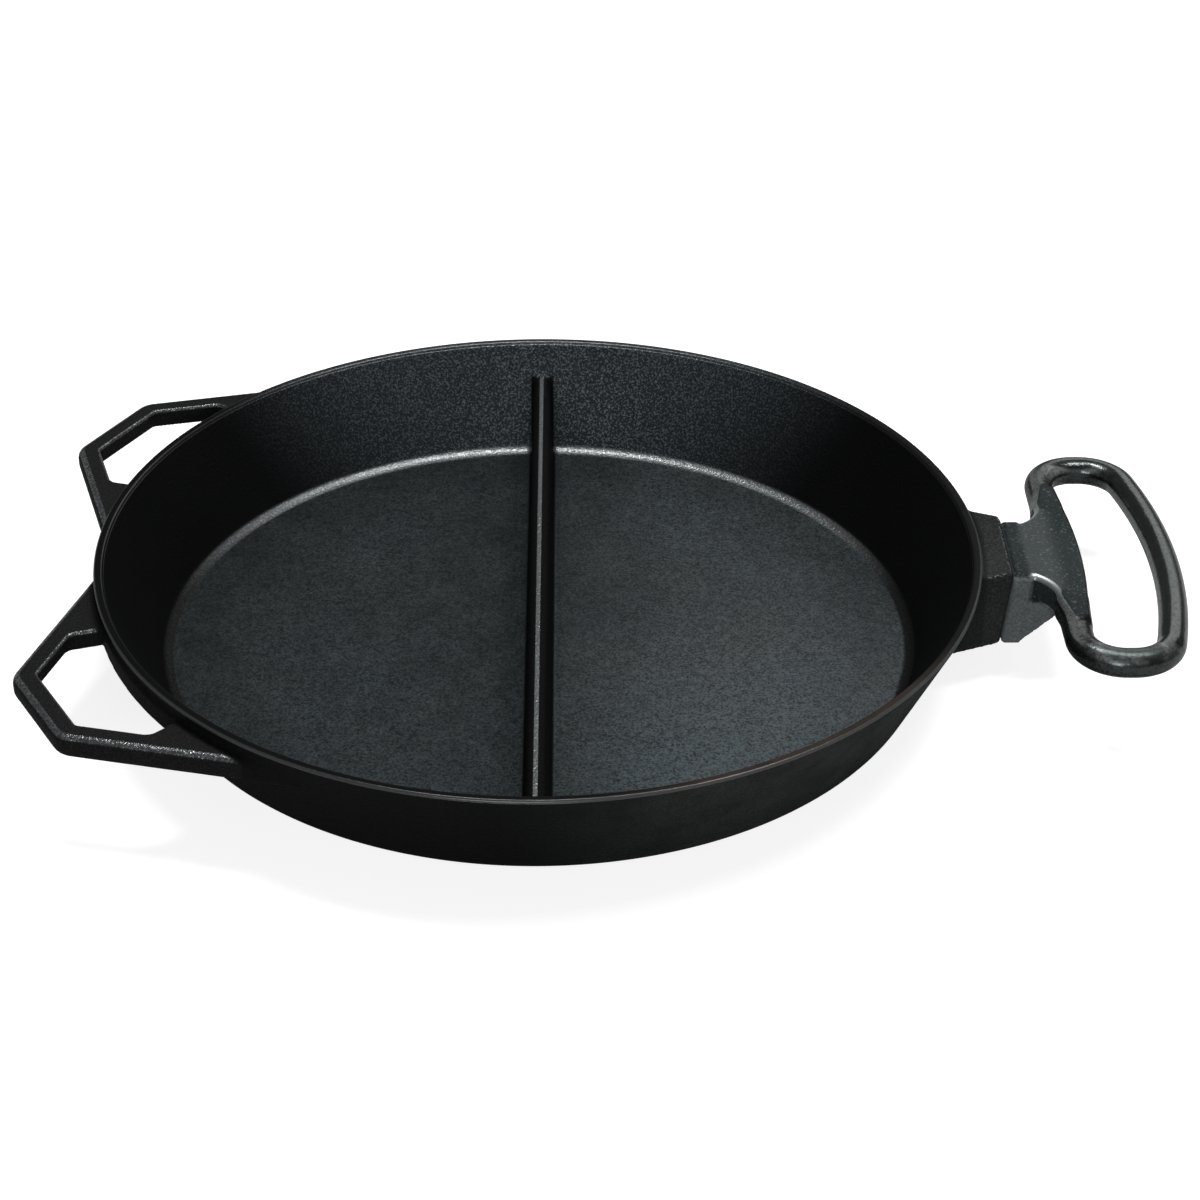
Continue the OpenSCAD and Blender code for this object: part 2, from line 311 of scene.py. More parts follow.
def lug_outlines(bar, half):
    """Outlines of a lug and of its finger gap, the lug's middle along X."""
    wall = wall_r(LUG_Z - LUG_T / 2)
    spread = math.radians(LUG_SPREAD)
    foot = wall * np.array([math.cos(spread), math.sin(spread)])
    inside = foot * (wall - LUG_WEB) / wall
    corner = np.array([wall + LUG_OUT, LUG_SIDE / 2])
    side = [tuple(corner), tuple(foot), tuple(inside)]
    lug = rounded(mirrored(side) + side, [0, 0, LUG_CORNER_R, LUG_CORNER_R, 0, 0])

    inner_r = wall_r(LUG_Z) + LUG_WEB
    slant = (foot - corner) / np.linalg.norm(foot - corner)
    outer_x = corner[0] - bar
    on_slant = corner + bar * np.array([-slant[1], slant[0]])
    top = on_slant + slant * (outer_x - on_slant[0]) / slant[0]
    end = on_slant + slant * (half + GAP_FLARE - on_slant[1]) / slant[1]
    end_angle = math.asin(half / inner_r)
    near = (inner_r * math.cos(end_angle), inner_r * math.sin(end_angle))
    side = [tuple(top), tuple(end), near]
    corners = [0, GAP_CORNER_R, GAP_CORNER_R / 2, GAP_CORNER_R / 2, GAP_CORNER_R, 0]
    gap = rounded(mirrored(side) + side, corners)
    turn = math.degrees(end_angle)
    gap += arc((0, 0), inner_r, turn, -turn, LONG_ARC_STEPS)[1:-1]
    return lug, gap


LUG_OUTLINE, GAP_OUTLINE = lug_outlines(LUG_BAR, GAP_HALF)
GAP_GROWTH = GAP_DRAFT * LUG_T
GAP_FOOT_OUTLINE = lug_outlines(LUG_BAR - GAP_GROWTH, GAP_HALF + GAP_GROWTH)[1]


def lug_shape(x, y, z):
    """A side lug, its finger gap widening downwards."""
    outer = outline_distance(LUG_OUTLINE, x, y)
    depth = np.clip((LUG_Z - z) / LUG_T, 0, 1)
    gap_top = outline_distance(GAP_OUTLINE, x, y)
    gap_foot = outline_distance(GAP_FOOT_OUTLINE, x, y)
    gap = gap_top * (1 - depth) + gap_foot * depth
    outer = plate(outer, z, LUG_Z - LUG_T, LUG_Z, LUG_EDGE_R)
    lug = trimmed(outer, -gap, GAP_EDGE_R)
    body = fused(lug, bowl_shape(x, y, z), LUG_FILLET)
    body = np.maximum(body, lug - LUG_FILLET - FILLET_MARGIN)
    return np.maximum(body, -core_shape(x, y, z))


def joint_planes(x, z, flip):
    """Distance to the joint's face, and half the joint's width, which grows downwards."""
    lean = math.tan(math.radians(JOINT_LEAN))
    face = (x - JOINT_X + (BOSS_Z - z) * lean) / math.hypot(1, lean) * flip
    half = BOSS_TOP_W / 2 + (BOSS_Z - z) * BOSS_SLOPE
    return face, half


def boss_shape(x, y, z):
    """The boss that carries the handle, chamfered round the joint."""
    face, half = joint_planes(x, z, 1)
    spread = math.tan(math.radians(BOSS_SPREAD))
    side = (np.abs(y) - half - (joint_face_x(z) - x) * spread) / math.hypot(1, spread)
    block = trimmed(side, BOSS_FOOT_Z - z, CRISP_R)
    block = trimmed(block, z - BOSS_Z, BOSS_EDGE_R)
    block = chamfered(block, face, JOINT_SIDE_CHAMFER, CRISP_R)
    block = trimmed(block, (face + z - BOSS_Z + JOINT_CHAMFER) * math.sqrt(0.5), CRISP_R)
    body = fused(block, bowl_shape(x, y, z), BOSS_FILLET)
    body = np.maximum(body, block - BOSS_FILLET - FILLET_MARGIN)
    body = np.maximum(body, -core_shape(x, y, z))
    return np.maximum(body, wall_r(z) - ROOT - BOSS_ROOT - x)


def bar_route():
    """Centreline of the loop for positive Y, as an open line from grip to back."""
    centre_x = GRIP_X - GRIP_BOW_R
    corner_y = LOOP_HALF - GRIP_CORNER_R
    corner_x = centre_x + math.sqrt((GRIP_BOW_R - GRIP_CORNER_R) ** 2 - corner_y**2)
    bow = math.degrees(math.atan2(corner_y, corner_x - centre_x))
    route = arc((centre_x, 0), GRIP_BOW_R, 0, bow, LONG_ARC_STEPS)
    route += arc((corner_x, corner_y), GRIP_CORNER_R, bow, 90, LONG_ARC_STEPS)[1:]
    back_centre = (BACK_X + BACK_CORNER_R, LOOP_HALF - BACK_CORNER_R)
    route += arc(back_centre, BACK_CORNER_R, 90, 180, LONG_ARC_STEPS)
    route.append((BACK_X, BAR_END_Y))
    return route


BAR_ROUTE = bar_route()


def neck_outline():
    """The neck plate from above: flared from the flange, with a bowed outer edge."""
    back_edge_x = BACK_X - BAR_D / 2 + NECK_INSET
    flange_x = joint_face_x(NECK_Z) + FLANGE_T / 2
    centre = (back_edge_x - NECK_FLARE_R, NECK_W / 2 + NECK_FLARE_R)
    start = -math.degrees(math.acos((flange_x - centre[0]) / NECK_FLARE_R))
    flare = arc(centre, NECK_FLARE_R, start, 0, FLARE_STEPS)
    side = flare + [(BACK_X, NECK_LOBE_Y)]
    bow = math.degrees(math.asin(NECK_LOBE_Y / NECK_BOW_R))
    edge = arc((NECK_EDGE_X - NECK_BOW_R, 0), NECK_BOW_R, bow, -bow, LONG_ARC_STEPS)
    return side + edge + mirrored(side)


NECK_OUTLINE = neck_outline()


def loop_shape(x, y, z):
    """The loop's round bar."""
    y = np.abs(y)
    nearest = np.full(x.shape, FAR)
    for (ax, ay), (bx, by) in zip(BAR_ROUTE, BAR_ROUTE[1:]):
        run, rise = bx - ax, by - ay
        t = np.clip(((x - ax) * run + (y - ay) * rise) / (run * run + rise * rise), 0, 1)
        nearest = np.minimum(nearest, (x - ax - run * t) ** 2 + (y - ay - rise * t) ** 2)
    return np.sqrt(nearest + (z - BAR_Z) ** 2) - BAR_D / 2


def gusset_shape(x, y, z, half):
    """The wedge under the neck plate, for a joint of a given half width."""
    foot_x = joint_face_x(BOSS_FOOT_Z) + FLANGE_T
    rise = NECK_FOOT_Z - BOSS_FOOT_Z
    slope = (x - foot_x) * rise - (z - BOSS_FOOT_Z) * GUSSET_OUT
    slope = slope / math.hypot(rise, GUSSET_OUT)
    gusset = trimmed(y - half + GUSSET_INSET, slope, CRISP_R)
    gusset = np.maximum(gusset, z - NECK_FOOT_Z - GUSSET_OVERLAP)
    gusset = np.maximum(gusset, BOSS_FOOT_Z + CRISP_R - z)
    return np.maximum(gusset, foot_x - FLANGE_T / 2 - x)


def handle_shape(x, y, z):
    """Flange, neck plate and gusset, with the loop's bar run into the plate."""
    y = np.abs(y)
    face, half = joint_planes(x, z, -1)
    flange = trimmed(y - half, x - joint_face_x(z) - FLANGE_T, CRISP_R)
    flange = trimmed(flange, BOSS_FOOT_Z - z, CRISP_R)
    neck = trimmed(outline_distance(NECK_OUTLINE, x, y), NECK_FOOT_Z - z, NECK_EDGE_R)
    body = trimmed(fused(flange, neck, FLANGE_FILLET), z - NECK_Z, NECK_EDGE_R)
    body = fused(body, gusset_shape(x, y, z, half), CRISP_R)
    body = fused(body, loop_shape(x, y, z), LOOP_FILLET)
    body = trimmed(body, z - NECK_Z, CRISP_R)
    return chamfered(body, face, JOINT_SIDE_CHAMFER, CRISP_R)


# Meshes


def skin(shape, low, high, step):
    """Even four-sided faces over the surface where a shape's distance is nought."""
    low = np.array(low, float)
    sizes = [int(math.ceil((h - l) / step)) + 1 for l, h in zip(low, high)]
    axes = [low[i] + step * np.arange(sizes[i]) for i in range(3)]
    grid = np.meshgrid(*axes, indexing="ij")
    value = shape(*grid)
    cells = tuple(n - 1 for n in sizes)
    count = np.zeros(math.prod(cells))
    total = np.zeros((math.prod(cells), 3))
    quads = []
    for axis in range(3):
        u, v = (axis + 1) % 3, (axis + 2) % 3
        lower = np.moveaxis(value, axis, 0)[:-1]
        upper = np.moveaxis(value, axis, 0)[1:]
        crossed = (lower < 0) != (upper < 0)
        others = [i for i in range(3) if i != axis]
        where = np.argwhere(crossed)
        edge = np.empty_like(where)
        edge[:, axis] = where[:, 0]
        edge[:, others[0]] = where[:, 1]
        edge[:, others[1]] = where[:, 2]
        a, b = lower[crossed], upper[crossed]
        point = edge.astype(float)
        point[:, axis] += a / (a - b)
        around = []
        for du, dv in ((1, 1), (0, 1), (0, 0), (1, 0)):
            cell = edge.copy()
            cell[:, u] -= du
            cell[:, v] -= dv
            flat = np.ravel_multi_index(cell.T, cells)
            around.append(flat)
            count += np.bincount(flat, minlength=count.size)
            for i in range(3):
                sums = np.bincount(flat, weights=point[:, i], minlength=count.size)
                total[:, i] += sums
        around = np.stack(around, axis=1)
        around[a > 0] = around[a > 0][:, ::-1]
        quads.append(around)
    used = np.flatnonzero(count)
    index = np.full(count.size, -1)
    index[used] = np.arange(used.size)
    points = low + step * total[used] / count[used, None]
    return settled(shape, points, step), index[np.concatenate(quads)]


def settled(shape, points, step, rounds=4, reach=0.04, flattest=0.2):
    """Moves points onto the surface itself, along its slope."""
    for _ in range(rounds):
        value = shape(*points.T)
        slope = np.empty_like(points)
        for i in range(3):
            shift = np.zeros(3)
            shift[i] = reach
            rise = shape(*(points + shift).T) - shape(*(points - shift).T)
            slope[:, i] = rise / (2 * reach)
        length = np.maximum((slope**2).sum(axis=1), flattest)
        move = np.clip(value / length, -step / 2, step / 2)
        points = points - slope * move[:, None]
    return points


def turned(points, degrees):
    """Points turned about Z."""
    a = math.radians(degrees)
    x = points[:, 0] * math.cos(a) - points[:, 1] * math.sin(a)
    y = points[:, 0] * math.sin(a) + points[:, 1] * math.cos(a)
    return np.stack([x, y, points[:, 2]], axis=1)


def mesh_of(name, parts, material):
    """One mesh from several lots of points in millimetres and their faces."""
    start = 0
    vertices, faces = [], []
    for points, quads in parts:
        vertices.append(points * MM)
        faces.append(quads + start)
        start += len(points)
    mesh = bpy.data.meshes.new(name)
    vertices, faces = np.concatenate(vertices), np.concatenate(faces)
    mesh.from_pydata(vertices.tolist(), [], faces.tolist())
    mesh.materials.append(material)
    mesh.validate()
    return mesh


def piece(name, mesh):
    """A smooth-shaded object in the scene, its place in its mesh."""
    mesh.polygons.foreach_set("use_smooth", np.ones(len(mesh.polygons), bool))
    made = bpy.data.objects.new(name, mesh)
    bpy.context.scene.collection.objects.link(made)
    return made


def joined(name, meshes):
    """One mesh from several, with the first one's material."""
    work = bmesh.new()
    for mesh in meshes:
        work.from_mesh(mesh)
    result = bpy.data.meshes.new(name)
    work.to_mesh(result)
    work.free()
    result.materials.append(meshes[0].materials[0])
    return result


# Geometry Nodes


class Tree:
    """A Geometry Nodes tree that is built with node(), with named inputs."""

    def __init__(self, name):
        self.group = bpy.data.node_groups.new(name, "GeometryNodeTree")
        self.socket("Geometry", "OUTPUT", "NodeSocketGeometry")
        self.start = self.group.nodes.new("NodeGroupInput")
        self.end = self.group.nodes.new("NodeGroupOutput")
        self.values = {}

    def socket(self, name, side, kind):
        return self.group.interface.new_socket(name, in_out=side, socket_type=kind)

    def size(self, name, value, kind="NodeSocketFloat"):
        """Adds a named input with its value, and returns its socket."""
        item = self.socket(name, "INPUT", kind)
        self.values[item.identifier] = value
        return self.start.outputs[name]

    def node(self, kind, settings=None, sockets=None, out=0):
        """Any node, from its type, its settings and its sockets' values or links."""
        made = self.group.nodes.new(kind)
        for key, value in (settings or {}).items():
            setattr(made, key, value)
        for key, value in (sockets or {}).items():
            if isinstance(value, bpy.types.NodeSocket):
                self.group.links.new(value, made.inputs[key])
            else:
                made.inputs[key].default_value = value
        return made.outputs[out]

    def math(self, operation, a, b):
        return self.node("ShaderNodeMath", {"operation": operation}, {0: a, 1: b})

    def finish(self, geometry, material):
        """Ends the tree in real geometry with its material."""
        real = self.node("GeometryNodeRealizeInstances", None, {0: geometry})
        sockets = {"Geometry": real, "Material": material}
        done = self.node("GeometryNodeSetMaterial", None, sockets)
        self.group.links.new(done, self.end.inputs[0])

    def mesh(self, name, source=None):
        """The tree's result as a plain mesh."""
        blank = source or bpy.data.meshes.new(name + "_source")
        holder = bpy.data.objects.new(name + "_holder", blank)
        bpy.context.scene.collection.objects.link(holder)
        modifier = holder.modifiers.new("shape", "NODES")
        modifier.node_group = self.group
        for identifier, value in self.values.items():
            modifier[identifier] = value
        graph = bpy.context.evaluated_depsgraph_get()
        result = bpy.data.meshes.new_from_object(holder.evaluated_get(graph))
        bpy.data.objects.remove(holder)
        result.name = name
        return result


def bowl_mesh(material):
    """The bowl as its section swept round a circle, with the poles closed."""
    tree = Tree("bowl")
    rim_r = tree.size("Rim Radius", RIM_R * MM)
    base_r = tree.size("Base Radius", BASE_R * MM)
    height = tree.size("Height", PAN_H * MM)
    rim_w = tree.size("Rim Width", RIM_W * MM)
    floor_t = tree.size("Floor Thickness", FLOOR_T * MM)
    floor_r = tree.size("Floor Radius", FLOOR_R * MM)
    floor_curve = tree.size("Floor Curve", FLOOR_CURVE * MM)
    base_edge = tree.size("Base Edge", BASE_EDGE * MM)
    rim_edge = tree.size("Rim Edge", RIM_EDGE * MM)
    around = tree.size("Segments", BOWL_SEGMENTS, "NodeSocketInt")
    corner_points = tree.size("Corner Points", BOWL_CORNER_POINTS, "NodeSocketInt")

    index = tree.node("GeometryNodeInputIndex")
    inner_rim = tree.math("SUBTRACT", rim_r, rim_w)

    def by_index(kind, values):
        """One value for each corner of the section, in their order."""
        made = tree.group.nodes.new("GeometryNodeIndexSwitch")
        made.data_type = kind
        while len(made.index_switch_items) < len(values):
            made.index_switch_items.new()
        tree.group.links.new(index, made.inputs[0])
        for i, value in enumerate(values):
            if isinstance(value, bpy.types.NodeSocket):
                tree.group.links.new(value, made.inputs[1 + i])
            else:
                made.inputs[1 + i].default_value = value
        return made.outputs[0]

    def place(radius, level):
        """A corner of the section, measured from the circle that it is swept round."""
        outwards = tree.math("SUBTRACT", radius, base_r)
        upwards = tree.math("MULTIPLY", level, -1.0)
        return tree.node("ShaderNodeCombineXYZ", None, {0: outwards, 1: upwards})

    corners = [
        place(0.0, 0.0),
        place(base_r, 0.0),
        place(rim_r, height),
        place(inner_rim, height),
        place(floor_r, floor_t),
        place(0.0, floor_t),
    ]
    radii = [0.0, base_edge, rim_edge, rim_edge, floor_curve, 0.0]
    line = tree.node("GeometryNodeMeshLine", None, {"Count": len(corners)})
    sockets = {0: line, "Position": by_index("VECTOR", corners)}
    placed = tree.node("GeometryNodeSetPosition", None, sockets)
    section = tree.node("GeometryNodeMeshToCurve", None, {0: placed})
    sockets = {0: section, "Count": corner_points, "Radius": by_index("FLOAT", radii)}
    section = tree.node("GeometryNodeFilletCurve", {"mode": "POLY"}, sockets)
    sockets = {"Resolution": around, "Radius": base_r}
    circle = tree.node("GeometryNodeCurvePrimitiveCircle", None, sockets)
    sockets = {"Curve": circle, "Profile Curve": section}
    swept = tree.node("GeometryNodeCurveToMesh", None, sockets)
    outwards = tree.node("GeometryNodeFlipFaces", None, {0: swept})
    sockets = {0: outwards, "Distance": BOWL_MERGE * MM}
    closed = tree.node("GeometryNodeMergeByDistance", None, sockets)
    tree.finish(closed, material)
    return tree.mesh("bowl")


def bolt_source():
    """One socket-head bolt, head down, its axis on Z, as rings of points."""
    spokes = BOLT_SEGMENTS
    angles = np.arange(spokes) * 2 * math.pi / spokes
    sixth = math.pi / 3
    to_flat = np.cos((angles + sixth / 2) % sixth - sixth / 2)
    edge = BOLT_EDGE
    head, shank = BOLT_HEAD_D / 2, BOLT_D / 2
    foot = BOSS_FOOT_Z
    seat = foot + BOLT_HEAD_H
    hexagon = KEY_W / 2 / to_flat
    rings = [
        (0, foot + KEY_DEPTH),
        (hexagon, foot + KEY_DEPTH),
        (hexagon, foot + edge / 2),
        (hexagon + edge / 2, foot),
        (head - edge, foot),
        (head, foot + edge),
        (head, seat - edge / 4),
        (head - edge / 4, seat),
        (shank, seat),
        (shank, BOLT_TOP_Z - edge),
        (shank - edge, BOLT_TOP_Z),
        (0, BOLT_TOP_Z),
    ]
    level_ring = np.ones(spokes)
    points = [
        np.stack([radius * np.cos(angles), radius * np.sin(angles), level * level_ring], axis=1)
        for radius, level in rings
    ]
    faces = []
    for k in range(len(rings) - 1):
        for i in range(spokes):
            j = (i + 1) % spokes
            here, there = k * spokes, (k + 1) * spokes
            faces.append([here + i, here + j, there + j, there + i])
    work = bmesh.new()
    made = [work.verts.new(Vector(p) * MM) for p in np.concatenate(points)]
    for face in faces:
        work.faces.new([made[i] for i in face])
    bmesh.ops.remove_doubles(work, verts=work.verts, dist=BOLT_MERGE * MM)
    bmesh.ops.recalc_face_normals(work, faces=work.faces)
    mesh = bpy.data.meshes.new("bolt")
    work.to_mesh(mesh)
    work.free()
    return mesh


def bolts_mesh(material):
    """The bolt repeated along a short line under the boss."""
    tree = Tree("bolts")
    pitch = tree.size("Pitch", BOLT_PITCH * MM)
    bolt_x = joint_face_x(BOSS_FOOT_Z + TENON_FLOOR) - BOLT_BACK
    place_x = tree.size("Distance From Axis", bolt_x * MM)
    count = tree.size("Count", 2, "NodeSocketInt")
    geometry = tree.socket("Bolt", "INPUT", "NodeSocketGeometry")
    tree.group.interface.move(geometry, 0)
    bolt = tree.start.outputs["Bolt"]
    half = tree.math("MULTIPLY", pitch, -0.5)
    start = tree.node("ShaderNodeCombineXYZ", None, {0: place_x, 1: half})
    apart = tree.node("ShaderNodeCombineXYZ", None, {1: pitch})
    sockets = {"Count": count, "Start Location": start, "Offset": apart}
    line = tree.node("GeometryNodeMeshLine", None, sockets)
    sockets = {"Points": line, "Instance": bolt}
    row = tree.node("GeometryNodeInstanceOnPoints", None, sockets)
    tree.finish(row, material)
    return tree.mesh("bolts", bolt_source())


# Materials


class Wire:
    """A shader value that can be used in Python sums."""

    def __init__(self, finish, socket):
        self.finish = finish
        self.socket = socket

    def math(self, operation, other, swapped=False):
        values = (other, self) if swapped else (self, other)
        sockets = {0: values[0], 1: values[1]}
        return self.finish.node("ShaderNodeMath", {"operation": operation}, sockets)

    def __add__(self, other):
        return self.math("ADD", other)

    def __sub__(self, other):
        return self.math("SUBTRACT", other)

    def __mul__(self, other):
        return self.math("MULTIPLY", other)

    def __rsub__(self, other):
        return self.math("SUBTRACT", other, True)

    __radd__ = __add__
    __rmul__ = __mul__


class Finish:
    """A material built node by node."""

    # Sockets of a Mix node that mixes colours
    FIRST_COLOUR, SECOND_COLOUR, MIXED_COLOUR = 6, 7, 2

    def __init__(self, name):
        self.material = bpy.data.materials.new(name)
        self.material.use_nodes = True
        self.nodes = self.material.node_tree.nodes
        self.links = self.material.node_tree.links
        self.nodes.clear()

    def node(self, kind, settings=None, sockets=None, out=0):
        """Any node, from its type, its settings and its sockets' values or links."""
        made = self.nodes.new(kind)
        for key, value in (settings or {}).items():
            setattr(made, key, value)
        for key, value in (sockets or {}).items():
            if isinstance(value, Wire):
                self.links.new(value.socket, made.inputs[key])
            else:
                made.inputs[key].default_value = value
        return Wire(self, made.outputs[out])

    def place(self):
        """The point on the object, and its parts."""
        point = self.node("ShaderNodeTexCoord", None, None, "Object")
        parts = [self.node("ShaderNodeSeparateXYZ", None, {0: point}, i) for i in range(3)]
        return point, parts

    def noise(self, point, scale, detail=2.0, roughness=0.5):
        sockets = {"Vector": point, "Scale": scale, "Detail": detail, "Roughness": roughness}
        return self.node("ShaderNodeTexNoise", None, sockets)

    def step(self, value, low, high):
        """Rises smoothly from 0 to 1 between two values."""
        settings = {"interpolation_type": "SMOOTHSTEP"}
        sockets = {"Value": value, "From Min": low, "From Max": high}
        return self.node("ShaderNodeMapRange", settings, sockets)

    def rise(self, value, bounds):
        """Rises smoothly from 0 to 1 between two places, in millimetres."""
        return self.step(value, bounds[0] * MM, bounds[1] * MM)

    def spread(self, value, bounds):
        """As rise does, for a distance to either side."""
        return self.step(value * value, (bounds[0] * MM) ** 2, (bounds[1] * MM) ** 2)

    def either(self, first, second):
        """The larger of two masks."""
        return self.node("ShaderNodeMath", {"operation": "MAXIMUM"}, {0: first, 1: second})

    def mix(self, amount, first, second):
        """Mixes two colours."""
        sockets = {
            "Factor": amount,
            self.FIRST_COLOUR: first if isinstance(first, Wire) else (*first, 1),
            self.SECOND_COLOUR: second if isinstance(second, Wire) else (*second, 1),
        }
        return self.node("ShaderNodeMix", {"data_type": "RGBA"}, sockets, self.MIXED_COLOUR)

    def bump(self, height, distance):
        sockets = {"Height": height, "Distance": distance, "Strength": 1.0}
        return self.node("ShaderNodeBump", None, sockets)

    def shader(self, sockets):
        return self.node("ShaderNodeBsdfPrincipled", None, sockets)

    def blend(self, amount, first, second):
        """Mixes two shaders."""
        return self.node("ShaderNodeMixShader", None, {0: amount, 1: first, 2: second})

    def surface(self, shader):
        """Ends the material in a shader, and returns the material."""
        output = self.nodes.new("ShaderNodeOutputMaterial")
        self.links.new(shader.socket, output.inputs["Surface"])
        return self.material


def pebbles(finish, point, size):
    """Height of a pebbled cast surface, from 0 to 1, for a grain size in metres."""
    grain = finish.noise(point, 1 / size, 2.0, 0.55)
    coarse = finish.noise(point, 0.35 / size, 1.0)
    return grain * 0.75 + coarse * 0.25


# The pan's colours, as linear red, green and blue
PAN_BLACK = (0.0016, 0.0017, 0.0018)
PAN_DARK = (0.0032, 0.0034, 0.0035)
OUTSIDE_DARK = (0.0095, 0.0098, 0.0098)
OUTSIDE_GREY = (0.070, 0.083, 0.080)
# Lit blue-grey painted on the back wall
BACK_WALL_LIT_BLUE = (0.068, 0.084, 0.094)
FLOOR_BLUE = (0.052, 0.075, 0.086)
FLOOR_GREY = (0.064, 0.076, 0.078)
LUG_GREY = (0.040, 0.040, 0.041)
RIM_BROWN = (0.050, 0.036, 0.029)
# Light metallic grey that paints the pan's highlights
PAN_HIGHLIGHT_GREY = (0.30, 0.32, 0.33)

# Where a part of the pan's surface begins and where it is full, in millimetres
INSIDE_R = (BASE_R - 1.5, BASE_R - 3.0)
OUTSIDE_R = (BASE_R - 2.5, BASE_R - 1.0)
FLOOR_LEVEL = (FLOOR_T + 0.9, FLOOR_T + 0.3)
CURVE_R = (191.6, 193.4)
CURVE_LEVEL = (8.6, 7.0)
CURVE_LIT = (20, 150)
WALL_FOOT_R = (190, 193)
BESIDE_DIVIDER = (5.8, 7.2)
ABOVE_DIVIDER = (DIVIDER_Z - 0.5, DIVIDER_Z + 1.5)
CREST_X = 0.3
CREST_HALF = (1.304, 0.837)
CREST_LEVEL = (DIVIDER_Z - 0.6, DIVIDER_Z - 0.2)
CREST_END_R = (216, 211)
RIM_LEVEL = (PAN_H - 2.0, PAN_H - 1.4)
RIM_TOP_LEVEL = (PAN_H - 0.10, PAN_H - 0.02)
RIM_OUTER_R = (228.2, 228.8)
RIM_WORN_RIGHT = (20, 100)
RIM_WORN_NEAR = (-90, -160)
BEYOND_RIM_R = (RIM_R + 1, RIM_R + 3)
LUG_SIDE_X = (0, -20)
LUG_EDGE_TOP = (LUG_Z - 0.05, LUG_Z - 0.2)
LUG_EDGE_FOOT = (LUG_Z - 2.2, LUG_Z - 1.5)
BOSS_EDGE_TOP = (BOSS_Z - 0.05, BOSS_Z - 0.2)
BOSS_EDGE_FOOT = (BOSS_Z - 1.3, BOSS_Z - 0.8)
BACK_Y = (130, 210)
NEAR_Y = (50, -130)
OUTSIDE_NEAR_Y = (50, -100)
RIGHT_X = (-20, 100)
MIDDLE_HALF = (30, 90)
MIDDLE_R = (190, 120)
FLOOR_MARGIN_R = (140, 190)


